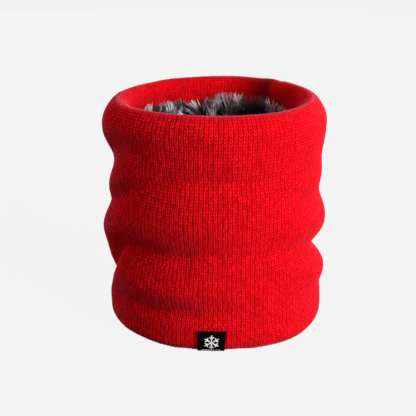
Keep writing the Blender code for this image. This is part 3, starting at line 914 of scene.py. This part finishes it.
class Label:
    """The tape folded round the hem. A place on it is an x and a distance down from its top."""

    def __init__(self):
        self.profile, self.along = resampled(label_profile(), 0.5 * MM)
        step = np.gradient(self.profile, axis=0)
        step /= np.linalg.norm(step, axis=1, keepdims=True)
        self.away = np.stack([-step[:, 1], step[:, 0]], axis=1)
        self.middle = (LABEL_LOW.x + LABEL_HIGH.x) / 2
        self.width = LABEL_HIGH.x - LABEL_LOW.x

    def at(self, x, down, clear):
        """Points this far across from the label's middle, down it and clear of the fabric."""
        x, down = np.broadcast_arrays(x, down)
        near_fold = np.clip(1 - np.abs(down / LABEL_HIGH.z - 1), 0, 1)
        x = x - (x + self.width / 2) * LABEL_TAPER * near_fold
        offset = np.interp(down, self.along, self.profile[:, 0])
        height = np.interp(down, self.along, self.profile[:, 1])
        away = np.stack([np.interp(down, self.along, self.away[:, k]) for k in (0, 1)], axis=-1)
        follow = wall_follow(offset)
        place = self.middle + x - TUBE.shift[0]
        angle = -np.degrees(np.arccos(place / (TUBE.half[0] + offset)))
        return TUBE.at(angle, offset + clear * away[..., 0], height + clear * away[..., 1], follow)

    def tape(self, look):
        """The tape itself, a little rippled, with its edges curled up."""
        x = np.linspace(-0.5, 0.5, 45)[None, :] * self.width
        down = self.along[:, None]
        ripple = 0.12 * MM * np.sin(x / self.width * 9 + down / MM / 6) * np.sin(down / MM / 4)
        curl = 0.35 * MM * (2 * x / self.width) ** 4
        face = self.at(x, down, 0.75 * MM + ripple + curl)
        back = self.at(x, down, 0.25 * MM + ripple + curl)
        face[..., 2] = np.maximum(face[..., 2], 0.1 * MM)
        back[..., 2] = np.maximum(back[..., 2], 0.3 * MM)
        obj = make_mesh("label_tape", *slab(face, back))
        return as_piece(obj, look, "woven_label")

    def cord(self, name, across, down, radius, clear, look, replaces):
        """Short raised cords on the label's face, each from its own list of points."""
        turn = np.radians(np.arange(CORD_SIDES) * 360 / CORD_SIDES)
        every, faces, first = [], [], 0
        for xs, downs in zip(across, down):
            line, _ = resampled(np.stack([xs, downs], 1), 0.25 * MM)
            rows = len(line)
            step = np.gradient(line, axis=0)
            step /= np.linalg.norm(step, axis=1, keepdims=True)
            ends = np.minimum(np.arange(rows), np.arange(rows)[::-1]) / 2
            round_end = np.sqrt(np.clip(1 - (1 - np.clip(ends, 0, 1)) ** 2, 0.02, 1))
            thick = radius * round_end[:, None]
            x = line[:, :1] - step[:, 1:] * np.cos(turn) * thick
            d = line[:, 1:] + step[:, :1] * np.cos(turn) * thick
            points = self.at(x, d, clear + np.sin(turn) * thick * 0.6)
            every.append(points.reshape(-1, 3))
            faces.append(grid_faces(rows, CORD_SIDES, True) + first)
            first += rows * CORD_SIDES
        obj = make_mesh(name, np.concatenate(every), np.concatenate(faces))
        return as_piece(obj, look, replaces)

    def mark(self, look):
        """A plain six-armed snowflake over a short stripe, embroidered in white."""
        middle = LABEL_HIGH.z - MARK_BELOW_TOP
        across, down = [], []
        for turn in np.radians(np.arange(6) * 60 + 30):
            reach = np.array([0.4 * MM, MARK_ARM])
            across.append(reach * np.cos(turn))
            down.append(middle - reach * np.sin(turn))
            foot = 0.55 * MARK_ARM
            foot_x, foot_z = foot * math.cos(turn), foot * math.sin(turn)
            for lean in (-1, 1):
                tip = turn + lean * math.radians(MARK_BARB_LEAN)
                across.append(np.array([foot_x, foot_x + MARK_BARB * math.cos(tip)]))
                down.append(middle - np.array([foot_z, foot_z + MARK_BARB * math.sin(tip)]))
        for x in np.arange(-3, 4) * DASH_PITCH:
            across.append(np.array([x - DASH_HALF, x + DASH_HALF]))
            down.append(np.full(2, LABEL_HIGH.z - DASH_BELOW_TOP))
        return self.cord("label_mark", across, down, MARK_CORD, 0.8 * MM, look,
                         "woven_label")

    def stitches(self, name, side, look):
        """Running stitches down one edge of the label's face."""
        x = side * (self.width / 2 - 1.5 * MM)
        starts = np.arange(1.2 * MM, LABEL_HIGH.z - 2 * MM, 2.6 * MM)
        across = [np.full(3, x) for _ in starts]
        down = [np.array([s, s + 0.9 * MM, s + 1.8 * MM]) for s in starts]
        return self.cord(name, across, down, 0.28 * MM, 0.82 * MM, look, name)


def slab(face, back):
    """Points and faces of a closed slab between two grids."""
    rows, columns = face.shape[:2]
    points = np.concatenate([face.reshape(-1, 3), back.reshape(-1, 3)])
    front = grid_faces(rows, columns, False)
    index = np.arange(rows * columns).reshape(rows, columns)
    edge = np.concatenate([index[0, :-1], index[:-1, -1], index[-1, :0:-1], index[:0:-1, 0]])
    after = np.roll(edge, -1)
    behind = rows * columns
    rim = np.stack([edge, after, after + behind, edge + behind], axis=1)
    return points, np.concatenate([front, front[:, ::-1] + behind, rim])


# The stage: floor, world, lights and camera.

PALE = 0.904
FLOOR_GLOW = 0.88
FLOOR_SIZE = 12
FLOOR_GAP = 0.2 * MM
WORLD_LIGHT = 0.10
WORLD_COLOUR = (1, 0.72, 0.78, 1)

LENS = 79.6
CAMERA_PLACE = (0, -0.6956, 0.3733)
CAMERA_AIM = (-0.0052, 0, 0.0923)

# Each lamp: its name, place, diameter, power and colour. All of them aim at one point.
LAMP_AIM = (0, 0, 0.1)
WHITE = (1, 1, 1)
LAMPS = (
    ("key", (1.085, -0.846, 0.46), 0.8, 39.5, WHITE),
    ("top_fill", (-0.30, -0.50, 1.35), 0.6, 8, (1, 0.74, 0.80)),
    ("left_fill", (-1.10, -0.85, 0.30), 1.0, 7, (1, 0.30, 0.32)),
    ("back_fill", (-0.2, 1.35, 0.50), 1.0, 8, WHITE),
    ("right_edge", (1.05, 0.85, 0.40), 0.6, 7, WHITE),
)


def stage():
    """A floor that glows only where the camera sees it, and a pale world that lights faintly."""
    bpy.ops.mesh.primitive_plane_add(size=FLOOR_SIZE, location=(0, 0, -FLOOR_GAP))
    floor = bpy.context.object
    floor.name = "floor"
    look = Look("pale_floor")
    look.set(Base_Color=(0.02, 0.02, 0.02, 1), Roughness=1.0, Specular_IOR_Level=0.0)
    glow = look.node("Emission")
    glow.inputs["Strength"].default_value = FLOOR_GLOW
    path = look.node("LightPath")
    dim = look.node("MixShader")
    both = look.node("AddShader")
    look.tree.links.new(look.shader.outputs[0], both.inputs[0])
    look.tree.links.new(glow.outputs[0], both.inputs[1])
    look.feed(dim.inputs[0], path.outputs["Is Camera Ray"])
    look.tree.links.new(look.shader.outputs[0], dim.inputs[1])
    look.tree.links.new(both.outputs[0], dim.inputs[2])
    look.tree.links.new(dim.outputs[0], look.tree.nodes["Material Output"].inputs["Surface"])
    floor.data.materials.append(look.material)

    world = bpy.data.worlds.new("studio")
    world.use_nodes = True
    bpy.context.scene.world = world
    tree = world.node_tree
    seen = tree.nodes["Background"]
    seen.inputs["Color"].default_value = (1, 1, 1, 1)
    seen.inputs["Strength"].default_value = PALE
    light = tree.nodes.new("ShaderNodeBackground")
    light.inputs["Color"].default_value = WORLD_COLOUR
    light.inputs["Strength"].default_value = WORLD_LIGHT
    path = tree.nodes.new("ShaderNodeLightPath")
    mix = tree.nodes.new("ShaderNodeMixShader")
    tree.links.new(path.outputs["Is Camera Ray"], mix.inputs[0])
    tree.links.new(light.outputs[0], mix.inputs[1])
    tree.links.new(seen.outputs[0], mix.inputs[2])
    tree.links.new(mix.outputs[0], tree.nodes["World Output"].inputs["Surface"])


def add_aimed(name, data, place, aim):
    """An object at a place, turned so that its -Z axis points at the aim."""
    obj = bpy.data.objects.new(name, data)
    bpy.context.scene.collection.objects.link(obj)
    obj.location = place
    obj.rotation_mode = "QUATERNION"
    obj.rotation_quaternion = (Vector(aim) - Vector(place)).to_track_quat("-Z", "Y")
    return obj


def lamp(name, place, size, power, colour):
    """A round soft light that the camera doesn't see."""
    data = bpy.data.lights.new(name, "AREA")
    data.shape = "DISK"
    data.size = size
    data.energy = power
    data.color = colour
    add_aimed(name, data, place, LAMP_AIM).visible_camera = False


def camera():
    """The camera, a little above the object and in front of it."""
    data = bpy.data.cameras.new("camera")
    data.sensor_width = 36
    data.lens = LENS
    data.clip_start = 0.01
    bpy.context.scene.camera = add_aimed("camera", data, CAMERA_PLACE, CAMERA_AIM)


camera()
stage()
for lamp_values in LAMPS:
    lamp(*lamp_values)
bpy.context.scene.view_settings.view_transform = "Standard"

# The knit's colours, from the painted shade between the stitches through mid and light to the pink
# painted sheen highlight on the leg crests.
RED_KNIT = wool_look("red_knit", (0.07, 0.0001, 0.0004), (0.41, 0.0004, 0.0020),
                     (0.64, 0.0010, 0.0050), (0.90, 0.0190, 0.0440))
RED_THREAD = thread_look("red_thread", (0.10, 0.0005, 0.001), (0.24, 0.0008, 0.002))
GREY_THREAD = thread_look("grey_thread", (0.02, 0.018, 0.02), (0.05, 0.046, 0.05))
BLACK_THREAD = thread_look("black_thread", (0.002, 0.002, 0.002), (0.006, 0.006, 0.007), 0.05, 0.0)
WHITE_THREAD = thread_look("white_thread", (0.60, 0.60, 0.60), (0.80, 0.80, 0.80))
BACKING = thread_look("lining_backing", (0.018, 0.016, 0.019), (0.045, 0.042, 0.047))
GROUND = thread_look("pile_ground", (0.006, 0.005, 0.006), (0.022, 0.020, 0.023))
TAPE = thread_look("label_tape", (0.0008, 0.0007, 0.0009), (0.0025, 0.0022, 0.0028), 0.03, 0.0)

knit = Knit()
tube = knit.build(RED_KNIT)
thread("knit_seam", knit.seam_path(), 0.4 * MM, 2.4 * MM,
       RED_THREAD, "knit_seam_thread")

join_offset = BACKING_OFFSET + BACKING_THICKNESS + 0.9 * MM
for end, height in (("top", TOP_FACING_EDGE), ("bottom", BOTTOM_FACING_EDGE)):
    path = ring_path(height, join_offset, 0.8 * MM, 3 * MM)
    thread(end + "_join", path, 0.5 * MM, 1.6 * MM,
           RED_THREAD, end + "_join_thread", True)

seam_heights = np.linspace(*LINING_SEAM_ENDS, 60)
seam_swing = 0.5 * MM * np.sin(np.arange(60) * np.pi / 2)
seam_path = TUBE.at(LINING_SEAM_ANGLE, join_offset + seam_swing, seam_heights, LINING_FOLLOWS_FOLDS)
thread("lining_seam", seam_path, 0.5 * MM, 1.6 * MM,
       GREY_THREAD, "lining_seam_thread")

cloth = lining_backing(BACKING)
ground = pile_ground(GROUND)
strands = Pile().build(pile_look())

label = Label()
tape = label.tape(TAPE)
mark = label.mark(WHITE_THREAD)
left = label.stitches("label_stitch_left", -1, BLACK_THREAD)
right = label.stitches("label_stitch_right", 1, BLACK_THREAD)
